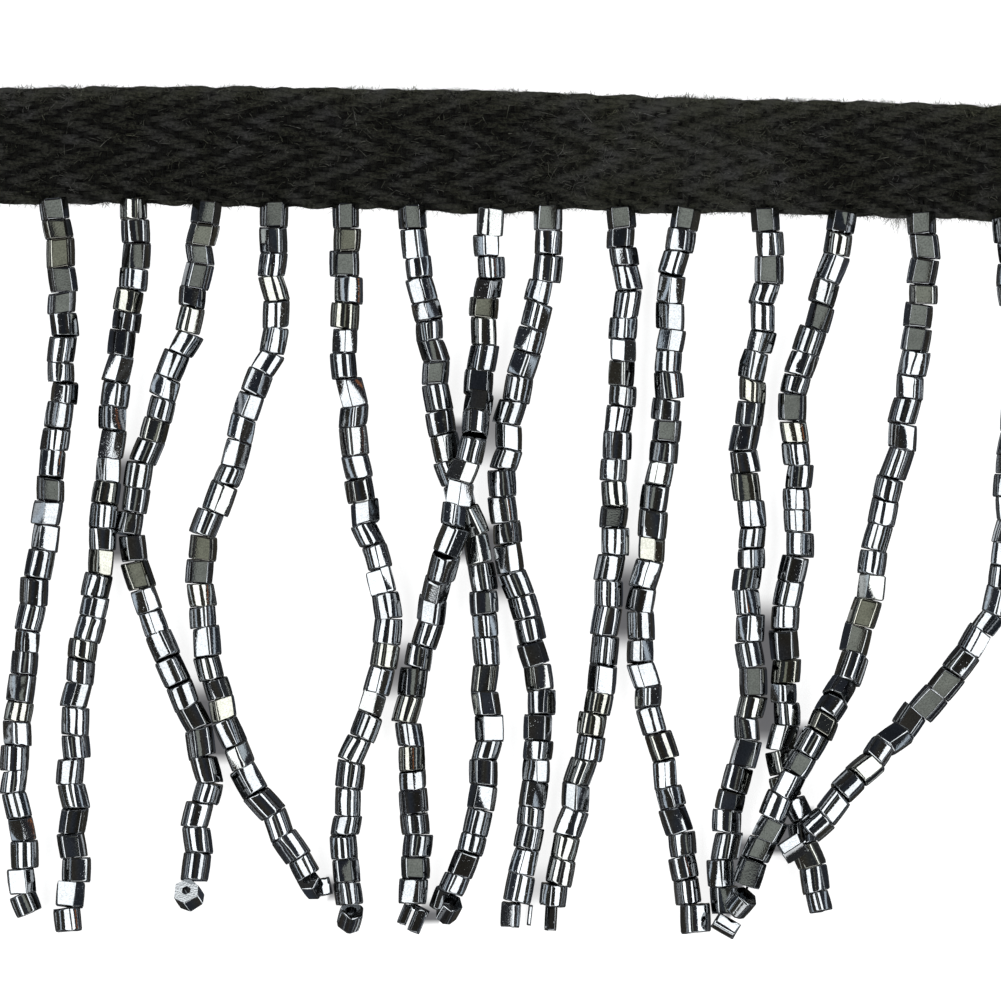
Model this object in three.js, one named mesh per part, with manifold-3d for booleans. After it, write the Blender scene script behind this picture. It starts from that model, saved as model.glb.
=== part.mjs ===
// Beaded fringe trim: a cut length of herringbone tape with fourteen strings of faceted tube beads,
// lying flat and face up. Millimetres.
// X runs along the tape, Y points from the fringe towards the tape and Z is up. The underside lies
// on Z = 0, and the origin is under the middle of the whole trim.

import * as THREE from 'three';
import { mergeVertices } from 'three/addons/utils/BufferGeometryUtils.js';
import Module from 'manifold-3d';

// Heading tape
const TAPE_LENGTH = 93;
const TAPE_THICKNESS = 1.2;
const TAPE_EDGE_THICKNESS = 0.8;
const TAPE_EDGE_WIDTH = 1.2;
const TAPE_STEPS_ALONG = 60;
const TAPE_STEPS_ACROSS = 10;
const TAPE_SWELL = 0.06;
const TAPE_SWELL_PITCH = 21;

// Stitched lower selvedge, parted from the tape by a narrow gap
const SELVEDGE_WIDTH = 0.95;
const SELVEDGE_THICKNESS = 0.9;
const SELVEDGE_STEPS_ACROSS = 2;
const GAP = 0.3;

// Strings of beads
const BEAD_LENGTH = 2.12;
const BEAD_WIDTH = 2.1;
const BEAD_HEIGHT = 2.1;
const BEAD_SHOULDER = 0.28;
const JOINT_INSET = 0.3;
const ROOT_OVERLAP = 0.5;
const CROSSING_LIFT = BEAD_HEIGHT + 0.35;
const CROSSING_RAMP = 7;

// The tape's upper and lower edges at stations along it
const TAPE_EDGES = [
  { x: -46.5, top: 10.1, bottom: 0.0 },
  { x: -34.6, top: 10.3, bottom: 0.1 },
  { x: -22.9, top: 10.3, bottom: -0.2 },
  { x: -11.5, top: 10.1, bottom: -0.4 },
  { x: -2.8, top: 10.0, bottom: -0.8 },
  { x: 5.9, top: 9.7, bottom: -0.4 },
  { x: 11.1, top: 9.5, bottom: -0.8 },
  { x: 19.9, top: 9.2, bottom: -0.7 },
  { x: 31.3, top: 9.0, bottom: -1.1 },
  { x: 37.3, top: 8.8, bottom: -1.2 },
  { x: 42.6, top: 8.6, bottom: -1.5 },
  { x: 46.5, top: 8.5, bottom: -1.6 },
];

// Each string's sideways places: at its root, then at every DROP_STEP below the tape, then its end.
// drop is how far down the end lies, and endWidth is the width of the stop bead turned across it.
const DROP_STEP = 6;
const STRINGS = [
  { root: -40.1, places: [-39.5, -39.2, -39.5, -40.2, -41.1, -41.9, -42.8, -43.5, -43.0, -42.6],
    end: -42.6, drop: 62.1, endWidth: 2.1 },
  { root: -33.0, places: [-33.2, -34.1, -35.0, -35.4, -35.9, -36.8, -37.9, -38.4, -38.3, -38.3],
    end: -38.9, drop: 63.4, endWidth: 2.8 },
  { root: -26.6, places: [-27.5, -28.7, -31.0, -32.6, -33.3, -31.6, -29.2, -26.9, -27.3],
    end: -28.2, drop: 61.3, endWidth: 2.7 },
  { root: -20.8, places: [-21.0, -20.9, -23.0, -24.9, -27.0, -27.1, -26.0, -23.9, -20.4],
    end: -16.6, drop: 60.4, endWidth: 2.5 },
  { root: -14.5, places: [-14.4, -14.6, -14.1, -13.4, -12.2, -10.8, -11.7, -13.7, -14.5, -14.2],
    end: -14.1, drop: 63.6, endWidth: 2.2 },
  { root: -8.9, places: [-8.2, -7.1, -6.6, -5.2, -3.1, -2.4, -2.2, -2.2, -3.1],
    end: -5.9, drop: 62.6, endWidth: 2.5 },
  { root: -1.9, places: [-2.2, -2.6, -3.1, -4.3, -5.9, -7.1, -8.6, -9.0, -8.4, -8.5],
    end: -8.9, drop: 63.6, endWidth: 2.6, liftFrom: 21.2, liftTo: 29.2 },
  { root: 3.1, places: [2.9, 1.4, 0.0, -0.8, -0.3, 1.1, 2.3, 2.1, 1.5, 0.4],
    end: -0.4, drop: 63.1, endWidth: 1.9 },
  { root: 9.4, places: [9.8, 9.7, 9.2, 9.0, 8.8, 8.3, 7.5, 6.4, 5.2, 3.6],
    end: 3.4, drop: 63.4, endWidth: 1.1 },
  { root: 15.3, places: [14.2, 13.7, 13.5, 12.8, 12.1, 11.2, 11.6, 12.9, 14.3, 15.3],
    end: 15.8, drop: 63.4, endWidth: 2.6 },
  { root: 22.0, places: [22.3, 21.7, 20.5, 20.5, 20.7, 20.7, 21.0, 20.1, 18.8],
    end: 18.5, drop: 61.9, endWidth: 2.1 },
  { root: 28.9, places: [27.9, 25.8, 24.7, 24.8, 24.9, 24.2, 23.8, 23.5, 24.9],
    end: 26.8, drop: 61.7, endWidth: 2.6 },
  { root: 35.7, places: [35.7, 35.1, 34.3, 33.1, 31.7, 30.8, 28.7, 25.2, 22.4, 20.3],
    end: 19.1, drop: 63.9, endWidth: 2.6, liftFrom: 46.3, liftTo: 99 },
  { root: 43.0, places: [43.6, 44.1, 44.0, 43.4, 43.2, 41.8, 37.6, 32.2, 26.6],
    end: 24.0, drop: 56.3, endWidth: 2.3, liftFrom: 51.9, liftTo: 99 },
];

const tapeMaterial = new THREE.MeshStandardMaterial({ color: 0x1b1b19, roughness: 0.95, metalness: 0 });
const beadMaterial = new THREE.MeshStandardMaterial({ color: 0x41454c, roughness: 0.15, metalness: 0.9 });

// The height of one edge of the tape at a place along it, on a smooth curve through the stations
function edgeCurve(edge) {
  const curve = new THREE.SplineCurve(TAPE_EDGES.map((station) => new THREE.Vector2(station.x, station[edge])));
  const samples = curve.getPoints(TAPE_STEPS_ALONG * 4);
  return (x) => {
    const after = Math.max(1, samples.findIndex((sample) => sample.x >= x));
    const [low, high] = [samples[after - 1], samples[after]];
    return THREE.MathUtils.mapLinear(x, low.x, high.x, low.y, high.y);
  };
}

const topEdge = edgeCurve('top');
const bottomEdge = edgeCurve('bottom');

// A flat band between two edges, divided into a grid, with its upper face at thickness(along, across)
function band(stepsAcross, lower, upper, thickness) {
  const geometry = new THREE.BoxGeometry(1, 1, 1, TAPE_STEPS_ALONG, stepsAcross, 1);
  const position = geometry.getAttribute('position');
  for (let i = 0; i < position.count; i += 1) {
    const x = position.getX(i) * TAPE_LENGTH;
    const across = position.getY(i) + 0.5;
    const y = THREE.MathUtils.lerp(lower(x), upper(x), across);
    const z = position.getZ(i) > 0 ? thickness(x, y) : 0;
    position.setXYZ(i, x, y, z);
  }
  geometry.computeVertexNormals();
  return geometry;
}

// The tape is thin at both edges and full in between, with a slight swell that comes and goes
function tapeThickness(x, y) {
  const fromEdge = Math.min(topEdge(x) - y, y - bottomEdge(x));
  const fullness = THREE.MathUtils.smoothstep(fromEdge, 0, TAPE_EDGE_WIDTH);
  const swell = TAPE_SWELL * Math.sin((2 * Math.PI * x) / TAPE_SWELL_PITCH + y);
  return THREE.MathUtils.lerp(TAPE_EDGE_THICKNESS, TAPE_THICKNESS, fullness) + swell;
}

// How far a string is lifted at a drop below the tape, in a long low hump over the string it crosses
function lift(string, drop) {
  if (string.liftFrom === undefined) return 0;
  const rise = THREE.MathUtils.smoothstep(drop, string.liftFrom - CROSSING_RAMP, string.liftFrom);
  const fall = THREE.MathUtils.smoothstep(drop, string.liftTo, string.liftTo + CROSSING_RAMP);
  return CROSSING_LIFT * (rise - fall);
}

// The line that a string's underside follows, from inside the selvedge to its end
function stringPath(string) {
  const rootY = bottomEdge(string.root) + ROOT_OVERLAP;
  const points = [new THREE.Vector3(string.root, rootY, 0)];
  string.places.forEach((x, index) => {
    const drop = DROP_STEP * (index + 1);
    points.push(new THREE.Vector3(x, -drop, lift(string, drop)));
  });
  points.push(new THREE.Vector3(string.end, -string.drop, lift(string, string.drop)));
  return new THREE.CatmullRomCurve3(points, false, 'catmullrom', 0.5);
}

// The rings along a string: every bead has a joint and two shoulders, and the last bead is turned
function stringRings(string, length) {
  const count = Math.round(length / BEAD_LENGTH);
  const pitch = length / count;
  const rings = [];
  for (let bead = 0; bead < count; bead += 1) {
    const width = bead === count - 1 ? string.endWidth : BEAD_WIDTH;
    if (bead > 0) rings.push({ at: bead * pitch, width: BEAD_WIDTH - 2 * JOINT_INSET, inset: JOINT_INSET });
    rings.push({ at: bead * pitch + (bead > 0 ? BEAD_SHOULDER : 0), width, inset: 0 });
    rings.push({ at: (bead + 1) * pitch - BEAD_SHOULDER, width, inset: 0 });
  }
  rings.push({ at: length, width: string.endWidth - 2 * JOINT_INSET, inset: JOINT_INSET });
  return rings;
}

// A string is a four-sided bar whose rings are set square to its path
function stringGeometry(string) {
  const path = stringPath(string);
  path.arcLengthDivisions = 600;
  const length = path.getLength();
  const rings = stringRings(string, length);
  const geometry = new THREE.BoxGeometry(1, 1, 1, 1, rings.length - 1, 1);
  const position = geometry.getAttribute('position');
  for (let i = 0; i < position.count; i += 1) {
    const ring = rings[Math.round((0.5 - position.getY(i)) * (rings.length - 1))];
    const point = path.getPointAt(ring.at / length);
    const tangent = path.getTangentAt(ring.at / length);
    const side = new THREE.Vector3(-tangent.y, tangent.x, 0).normalize();
    const upward = position.getZ(i) > 0 ? BEAD_HEIGHT - ring.inset : ring.inset;
    point.addScaledVector(side, position.getX(i) * ring.width);
    position.setXYZ(i, point.x, point.y, lift(string, -point.y) + upward);
  }
  return geometry;
}

const wasm = await Module();
wasm.setup();

// A closed mesh as a solid, and a solid as a mesh again
function toSolid(geometry) {
  const bare = geometry.clone();
  bare.deleteAttribute('normal');
  bare.deleteAttribute('uv');
  const merged = mergeVertices(bare);
  return new wasm.Manifold(new wasm.Mesh({
    numProp: 3,
    vertProperties: new Float32Array(merged.getAttribute('position').array),
    triVerts: new Uint32Array(merged.getIndex().array),
  }));
}

function toGeometry(solid) {
  const mesh = solid.getMesh();
  const geometry = new THREE.BufferGeometry();
  geometry.setAttribute('position', new THREE.BufferAttribute(new Float32Array(mesh.vertProperties), 3));
  geometry.setIndex(new THREE.BufferAttribute(new Uint32Array(mesh.triVerts), 1));
  geometry.computeVertexNormals();
  return geometry;
}

// Heading tape, down to the gap above its stitched selvedge
function makeTape() {
  const lower = (x) => bottomEdge(x) + SELVEDGE_WIDTH + GAP;
  const tape = new THREE.Mesh(band(TAPE_STEPS_ACROSS, lower, topEdge, tapeThickness), tapeMaterial);
  tape.name = 'tape';
  return tape;
}

// Selvedge strip and the strings whose roots are fused into it
function makeFringe() {
  const upper = (x) => bottomEdge(x) + SELVEDGE_WIDTH;
  let solid = toSolid(band(SELVEDGE_STEPS_ACROSS, bottomEdge, upper, () => SELVEDGE_THICKNESS));
  for (const string of STRINGS) {
    solid = solid.add(toSolid(stringGeometry(string)));
  }
  const fringe = new THREE.Mesh(toGeometry(solid), beadMaterial);
  fringe.name = 'fringe';
  return fringe;
}

const trim = new THREE.Group();
trim.add(makeTape(), makeFringe());
const middle = new THREE.Box3().setFromObject(trim).getCenter(new THREE.Vector3());
trim.position.set(-middle.x, -middle.y, 0);

export default trim;
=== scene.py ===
"""Beaded fringe trim: a woven herringbone tape with strings of mirror-bright cut glass beads.

The trim lies flat and face up on a pale floor and is seen from straight above. Everything is in
metres in the frame of the solids: X along the tape, Y from the fringe towards the tape, Z up.
"""

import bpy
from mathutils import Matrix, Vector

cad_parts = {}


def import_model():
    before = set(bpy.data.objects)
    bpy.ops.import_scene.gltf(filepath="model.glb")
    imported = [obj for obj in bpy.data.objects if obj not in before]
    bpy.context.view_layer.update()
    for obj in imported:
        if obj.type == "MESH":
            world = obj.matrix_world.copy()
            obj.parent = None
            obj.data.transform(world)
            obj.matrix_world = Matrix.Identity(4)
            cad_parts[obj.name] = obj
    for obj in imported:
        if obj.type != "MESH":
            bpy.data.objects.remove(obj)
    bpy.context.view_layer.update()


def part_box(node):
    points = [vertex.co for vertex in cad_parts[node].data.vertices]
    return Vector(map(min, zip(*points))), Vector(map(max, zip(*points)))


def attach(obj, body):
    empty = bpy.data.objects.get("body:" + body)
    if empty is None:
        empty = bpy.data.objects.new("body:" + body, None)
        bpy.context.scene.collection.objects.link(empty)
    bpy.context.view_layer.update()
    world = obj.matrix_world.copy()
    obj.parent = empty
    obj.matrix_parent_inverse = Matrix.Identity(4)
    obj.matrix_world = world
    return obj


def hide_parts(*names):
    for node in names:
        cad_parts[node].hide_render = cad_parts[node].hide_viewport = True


bl_info = {
    "name": "Beaded Fringe Trim",
    "version": (1, 0, 0),
    "blender": (4, 5, 0),
    "location": "View3D > Sidebar > Trim",
    "description": "Builds a herringbone tape with a fringe of faceted beads",
    "category": "Add Mesh",
}

from math import cos, pi, radians, sin
from typing import NamedTuple

import bpy
import numpy as np
from bpy.props import FloatProperty, FloatVectorProperty, IntProperty, PointerProperty

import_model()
TAPE_LOW, TAPE_HIGH = (np.array(corner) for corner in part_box("tape"))

MM = 0.001

# Photograph: its width across the trim, and the place on the trim that its middle shows
PICTURE_WIDTH = 87.4 * MM
PICTURE_MIDDLE = (-1.05 * MM, 1.1 * MM)

# Tape, with sizes in metres
TAPE_LENGTH = TAPE_HIGH[0] - TAPE_LOW[0]
WARP_ENDS = 27
WEFT_PITCH = 1.0476 * MM
TWILL_REPEAT = 4
TWILL_START = -33.9 * MM
WEAVE_LEVEL = 0.56 * MM
WARP_SWING = 0.24 * MM
WARP_HALF_HEIGHT = 0.2 * MM
WARP_HALF_WIDTH = 0.215 * MM
WEFT_LEVEL = 0.5 * MM
WEFT_SWING = 0.08 * MM
WEFT_HALF_HEIGHT = 0.15 * MM
WEFT_HALF_WIDTH = 0.34 * MM
GROUND_LEVELS = (0.12 * MM, 0.5 * MM)
EDGE_INSET = 0.22 * MM
FRAY_PLACE = 34.0 * MM
WORN_STRETCH = (2.0 * MM, 26.0 * MM)
NAP_BOUNDS = (0.39, 0.59)
FIBRE_RADIUS = 0.03 * MM
EDGE_FIBRE_RADIUS = 0.022 * MM
LINT_RADIUS = 0.021 * MM
LOWEST_FIBRE = 0.03 * MM

# Beads, with sizes in metres
BEAD_RADIUS = 1.265 * MM
BEAD_LENGTH = 2.1 * MM
BEAD_LENGTH_SPREAD = 0.24 * MM
BEAD_GAP = 0.012 * MM
BEAD_HOLE = 0.42 * MM
BEAD_RIM = 0.145 * MM
BEAD_RIM_SCALE = 0.952
BEAD_BARREL = 1.018
RIM_TILT = 55.0
CORNER_HAIR = 0.05 * MM
CORNER_LEAN = 42.0

# Cuts of the beads: how far each flat strays, and half the angle that it spans, in degrees
CUTS = 6
CUT_STRAY = 6.5
CUT_SPAN = 27.0
CUT_SPAN_SPREAD = 8.0
CUT_SPAN_LIMITS = (11.0, 40.0)
BROAD_SPAN = 33.0
BROAD_CROWN = 0.04
CUT_TWIST = 1.1
END_SLOPE = 1.4

# Lie of the strings, with sizes in metres
ROOT_NEST = 0.5 * MM
JOINT_STRAY = 0.15 * MM
BEAD_STRAY = 0.115 * MM
CROSSING_LIFT = 2.5 * MM
CROSSING_RAMP = 7.0 * MM
DROP_STEP = 6.0 * MM
THREAD_RADIUS = 0.11 * MM
THREAD_ROOT_LEVEL = 0.75 * MM
THREAD_SAG = 0.1 * MM

# Unevenness of the strings: angles in degrees, and the rest as shares or draws from 0 to 1
BEAD_YAW = 1.5
BEAD_YAW_LIMIT = 4.0
BEAD_PITCH = 2.8
RADIUS_SPREAD = 0.017
LENGTH_LIMITS = (0.78, 1.24)
CROWN_MEAN = 0.44
CROWN_SPREAD = 0.26
FLAT_UP_BEADS = 0.06
FRESH_ROLLS = 0.55
CORNER_UP_ROLLS = 0.25
ROLL_DRIFT = 5.0

# Floor, in metres: how far it reaches to each side, and the part of it where a shadow of the strings is
# painted
FLOOR_REACH = 1.5
DIMMED_LOW = (-0.046, -0.038)
DIMMED_HIGH = (0.046, 0.03)
DIMMED_STEPS = (264, 137)
FLOOR_DARKEST = (0.045, 0.045, 0.047)

# Finishes, as shares of the colour that is set, and the draws from 0 to 1 that beads get them by
# Cotton: the share for the painted shade at the bottom of the weave, and the share for the full tone
COTTON_SHADE_AND_TONE = (0.16, 2.7)
OLIVE_HUE = (1.03, 1.04, 0.84)
PLAIN_HUE = (0.98, 0.96, 1.12)
GRAIN_TONES = (0.68, 1.12)
RIPPLED_BEADS = (0.31, 0.39)
WARM_BEADS_FROM = 0.8


class Station(NamedTuple):
    """A place along the tape with the heights of its upper and lower edges, in millimetres."""

    x: float
    top: float
    bottom: float


STATIONS = (
    Station(-46.5, 10.1, 0.0),
    Station(-34.6, 10.3, 0.1),
    Station(-22.9, 10.3, -0.2),
    Station(-11.5, 10.1, -0.4),
    Station(-2.8, 10.0, -0.8),
    Station(5.9, 9.7, -0.4),
    Station(11.1, 9.5, -0.8),
    Station(19.9, 9.2, -0.7),
    Station(31.3, 9.0, -1.1),
    Station(37.3, 8.8, -1.2),
    Station(42.6, 8.6, -1.5),
    Station(46.5, 8.5, -1.6),
)


class Stop(NamedTuple):
    """A bead that the thread of a string turns back round, in millimetres and degrees.

    side and drop are its middle. turn is how far its axis is swung from straight down the trim
    towards its right end, and rise is how far that axis is tipped down into the floor. roll is how
    far from straight up its first flat faces, where that shows.
    """

    side: float
    drop: float
    turn: float
    rise: float
    length: float
    width: float
    roll: float = None


class String(NamedTuple):
    """One string of beads, in millimetres.

    root is its sideways place at the tape and places those at each step down. end and drop are
    where it ends, and spare is the last part of it, which its stop beads take up. calm holds the
    stretches in which its beads lie with a broad flat facing up. Between the two drops of lift it
    lies over another string.
    """

    root: float
    places: tuple
    end: float
    drop: float
    spare: float
    stops: tuple
    calm: tuple = ()
    lift: tuple = None


STRINGS = (
    String(-40.1, (-39.5, -39.2, -39.5, -40.2, -41.1, -41.9, -42.8, -43.5, -43.0, -42.6), -42.6, 62.1,
           2.0, (Stop(-42.5, 61.0, 22, 0, 1.85, 2.5),), calm=((0, 9),)),
    String(-33.0, (-33.2, -34.1, -35.0, -35.4, -35.9, -36.8, -37.9, -38.4, -38.3, -38.3), -38.9, 63.4,
           2.1, (Stop(-38.8, 62.4, 7, 0, 2.05, 2.6),)),
    String(-26.6, (-27.5, -28.7, -31.0, -32.5, -33.0, -31.6, -29.2, -26.9, -27.3), -28.2, 61.3,
           2.3, (Stop(-28.25, 60.25, 28, 62, 2.0, 2.5),), calm=((0, 7),)),
    String(-20.8, (-21.0, -20.9, -23.0, -24.9, -27.0, -27.1, -26.0, -23.9, -20.4), -16.6, 60.4,
           2.2, (Stop(-17.65, 59.4, 30, 52, 1.8, 2.15), Stop(-16.45, 59.55, 12, 0, 1.5, 1.3, 18)),
           calm=((0, 2), (29, 33))),
    String(-14.5, (-14.4, -14.6, -14.1, -13.4, -12.2, -10.8, -11.7, -13.7, -14.5, -14.2), -14.1, 63.6,
           2.5, (Stop(-14.15, 62.25, -15, 42, 1.95, 2.15),), calm=((0, 6.5),)),
    String(-8.9, (-8.2, -7.1, -6.6, -5.2, -3.1, -2.4, -2.2, -2.2, -3.1), -5.9, 62.6,
           2.5, (Stop(-6.25, 60.6, -20, 15, 1.8, 1.6, 7), Stop(-5.6, 61.45, -30, 44, 1.9, 2.15)),
           calm=((0, 3),)),
    String(-1.9, (-2.2, -2.6, -3.1, -4.3, -5.9, -7.1, -8.6, -9.0, -8.4, -8.5), -8.9, 63.6,
           2.6, (Stop(-9.4, 62.0, -22, 0, 1.75, 0.85, 7), Stop(-8.3, 62.55, -22, 0, 2.1, 1.15, 8),
                 Stop(-8.2, 61.55, 62, 0, 1.9, 0.7)),
           calm=((8, 11), (16, 19)), lift=(21.2, 29.2)),
    String(3.1, (2.9, 1.4, 0.0, -0.8, -0.3, 1.1, 2.3, 2.1, 1.5, 0.4), -0.4, 63.1,
           2.3, (Stop(-0.15, 62.0, -3, 0, 2.1, 1.95, -28), Stop(1.5, 62.05, -6, 0, 1.8, 0.45, 20)),
           calm=((0, 2.5),)),
    String(9.4, (9.8, 9.7, 9.2, 9.0, 8.8, 8.3, 7.5, 6.4, 5.2, 3.6), 3.4, 63.4,
           2.2, (Stop(3.35, 62.3, -3, 0, 2.15, 1.07, 7),), calm=((0, 2.5),)),
    String(15.3, (14.2, 13.7, 13.5, 12.8, 12.1, 11.2, 11.6, 12.9, 14.3, 15.3), 15.8, 63.4,
           2.4, (Stop(15.95, 62.3, 2, 0, 2.5, 2.7),), calm=((0, 2), (19, 21))),
    String(22.0, (22.3, 21.7, 20.5, 20.5, 20.7, 20.7, 21.0, 20.1, 18.8), 18.8, 61.9,
           0.0, (), calm=((0, 2.5),)),
    String(28.9, (27.9, 25.8, 24.7, 24.8, 24.6, 23.8, 23.8, 23.5, 24.9), 26.8, 61.7,
           1.7, (Stop(26.8, 60.85, 14, 0, 1.75, 2.4),), calm=((8, 11), (17, 19))),
    String(35.7, (35.7, 35.1, 34.3, 33.1, 31.7, 30.8, 28.7, 25.2, 22.4, 20.3), 19.1, 63.9,
           4.7, (Stop(19.9, 60.9, -40, 30, 1.9, 2.2), Stop(18.6, 62.9, 60, 0, 2.2, 1.6, 27)),
           calm=((0, 13), (35, 38), (54, 62)), lift=(46.3, 99.0)),
    String(43.0, (43.6, 44.1, 44.0, 43.4, 43.2, 41.8, 37.6, 32.2, 26.6), 24.0, 56.3,
           2.4, (Stop(24.4, 56.1, -58, 0, 2.1, 2.1, -24.5),), calm=((40.8, 46.6), (48.8, 50.6)),
           lift=(51.9, 99.0)),
)


# Curves and paths


def catmull_rom(points, steps):
    """A smooth curve through the given points, with steps points to each span.

    Each span is the cubic whose slope at a point is half the way from the point before it to the
    point after it. Beyond both ends the first and last steps are carried on straight.
    """
    points = np.asarray(points, float)
    padded = np.vstack([2 * points[0] - points[1], points, 2 * points[-1] - points[-2]])
    t = np.linspace(0, 1, steps, endpoint=False)[None, :, None]
    a, b, c, d = (padded[i : len(padded) - 3 + i, None, :] for i in range(4))
    curve = 0.5 * (
        2 * b + (c - a) * t + (2 * a - 5 * b + 4 * c - d) * t**2 + (3 * b - a - 3 * c + d) * t**3
    )
    return np.vstack([curve.reshape(-1, points.shape[1]), points[-1]])


def smoothstep(value, low, high):
    """0 below low and 1 above high, with 3 t squared less 2 t cubed in between."""
    t = np.clip((np.asarray(value, float) - low) / (high - low), 0, 1)
    return t * t * (3 - 2 * t)


def unit(vectors):
    """Each vector divided by its length."""
    vectors = np.asarray(vectors, float)
    return vectors / np.maximum(np.linalg.norm(vectors, axis=-1, keepdims=True), 1e-12)


class Path:
    """A curve that is read by the distance along it."""

    def __init__(self, points):
        self.points = np.asarray(points, float)
        steps = np.linalg.norm(np.diff(self.points, axis=0), axis=1)
        self.distance = np.concatenate([[0.0], np.cumsum(steps)])
        self.length = self.distance[-1]

    def at(self, distance):
        """Places at the given distances, carried on straight past both ends."""
        inside = np.clip(distance, 0, self.length)
        places = np.stack([np.interp(inside, self.distance, axis) for axis in self.points.T], axis=-1)
        return places + (np.asarray(distance) - inside)[..., None] * self.along(inside)

    def along(self, distance, reach=0.6 * MM):
        """Unit vectors along the curve, from the chord between two places a reach apart."""
        ends = [np.clip(np.asarray(distance) + side * reach, 0, self.length) for side in (-1, 1)]
        before, after = (
            np.stack([np.interp(end, self.distance, axis) for axis in self.points.T], axis=-1)
            for end in ends
        )
        return unit(after - before)


EDGE_CURVES = {
    edge: catmull_rom([(station.x, getattr(station, edge)) for station in STATIONS], 24) * MM
    for edge in ("top", "bottom")
}
EDGE_LINE = TAPE_HIGH[1] - EDGE_CURVES["top"][:, 1].max()


def edge_height(edge, x):
    """The Y of the tape's upper or lower edge at places along it."""
    curve = EDGE_CURVES[edge]
    return EDGE_LINE + np.interp(x, curve[:, 0], curve[:, 1])


def string_lift(string, drop):
    """How far a string is raised over the one that it crosses: up and down by smooth steps."""
    if string.lift is None:
        return np.zeros_like(np.asarray(drop, float))
    start, stop = (MM * place for place in string.lift)
    up = smoothstep(drop, start - CROSSING_RAMP, start)
    return CROSSING_LIFT * (up - smoothstep(drop, stop, stop + CROSSING_RAMP))


def string_path(string):
    """The line on the floor that a string follows, raised where it crosses another one."""
    root_drop = EDGE_LINE - edge_height("bottom", string.root * MM) - ROOT_NEST
    drops = [root_drop, *(DROP_STEP * (step + 1) for step in range(len(string.places))), string.drop * MM]
    sides = np.array([string.root, *string.places, string.end]) * MM
    plan = catmull_rom(np.stack([sides, drops], axis=1), 30)
    return Path(np.stack([plan[:, 0], EDGE_LINE - plan[:, 1], string_lift(string, plan[:, 1])], axis=1))


# Meshes


def new_mesh(name, vertices, faces, material, normals=None, attributes=None):
    """An object from arrays of vertices and of four-sided faces, and lists of other faces.

    normals, where given, holds one for each corner of the faces. attributes holds a number for
    each vertex under each name.
    """
    mesh = bpy.data.meshes.new(name)
    mesh.from_pydata(vertices.tolist(), [], [list(face) for face in faces])
    mesh.polygons.foreach_set("use_smooth", np.ones(len(mesh.polygons), bool))
    for key, values in (attributes or {}).items():
        mesh.attributes.new(key, "FLOAT", "POINT").data.foreach_set("value", np.asarray(values, np.float32))
    mesh.materials.append(material)
    mesh.update()
    if normals is not None:
        mesh.normals_split_custom_set(normals.tolist())
    piece = bpy.data.objects.new(name, mesh)
    bpy.context.scene.collection.objects.link(piece)
    return piece


def tube_faces(tubes, rings, sides):
    """Faces of several equal tubes whose vertices run side by side, ring by ring, tube by tube."""
    ring, side = np.meshgrid(np.arange(rings - 1), np.arange(sides), indexing="ij")
    after = (side + 1) % sides
    quads = np.stack(
        [ring * sides + side, ring * sides + after, (ring + 1) * sides + after, (ring + 1) * sides + side],
        axis=-1,
    ).reshape(-1, 4)
    caps = [np.arange(sides)[::-1], (rings - 1) * sides + np.arange(sides)]
    starts = np.arange(tubes) * rings * sides
    faces = (quads[None] + starts[:, None, None]).reshape(-1, 4).tolist()
    faces += [(cap + start).tolist() for start in starts for cap in caps]
    return faces


def tube_vertices(centres, half_width, half_height, sides, up=(0, 0, 1)):
    """Rings of points round several lines.

    Each ring is an ellipse square to its line: half_width towards the side, which is up crossed
    with the line's direction, and half_height towards the direction crossed with that side.
    """
    along = unit(np.gradient(centres, axis=1))
    side = unit(np.cross(np.broadcast_to(up, along.shape), along))
    rise = np.cross(along, side)
    turn = 2 * pi * np.arange(sides) / sides
    ring = (
        side[:, :, None, :] * (np.cos(turn)[None, None, :, None] * half_width[..., None, None])
        + rise[:, :, None, :] * (np.sin(turn)[None, None, :, None] * half_height[..., None, None])
    )
    return (centres[:, :, None, :] + ring).reshape(-1, 3)


# Shader maths


class Wire:
    """A socket of a node tree, which adds a Math node for each step of an expression."""

    def __init__(self, shade, socket):
        self.shade = shade
        self.socket = socket

    def _math(self, operation, *values, clamp=False):
        settings = {"operation": operation, "use_clamp": clamp}
        return self.shade.node("ShaderNodeMath", settings, dict(enumerate(values))).out(0)

    def __add__(self, other):
        return self._math("ADD", self, other)

    def __sub__(self, other):
        return self._math("SUBTRACT", self, other)

    def __mul__(self, other):
        return self._math("MULTIPLY", self, other)

    def __truediv__(self, other):
        return self._math("DIVIDE", self, other)

    def __rsub__(self, other):
        return self._math("SUBTRACT", other, self)

    def __abs__(self):
        return self._math("ABSOLUTE", self)

    def sine(self):
        return self._math("SINE", self)

    def angle(self, other):
        return self._math("ARCTAN2", self, other)

    def held(self):
        """The value kept between 0 and 1."""
        return self._math("ADD", self, 0.0, clamp=True)

    def within(self, low, high, soft):
        """1 between low and high, falling to 0 over a soft margin outside each."""
        inside = ((high - low) / 2 + soft) - abs(self - (low + high) / 2)
        return inside._math("DIVIDE", inside, soft, clamp=True)


class NodeUse:
    """One node, whose outputs are taken as wires."""

    def __init__(self, shade, node):
        self.shade = shade
        self.node = node

    def out(self, key):
        return Wire(self.shade, self.node.outputs[key])


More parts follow.
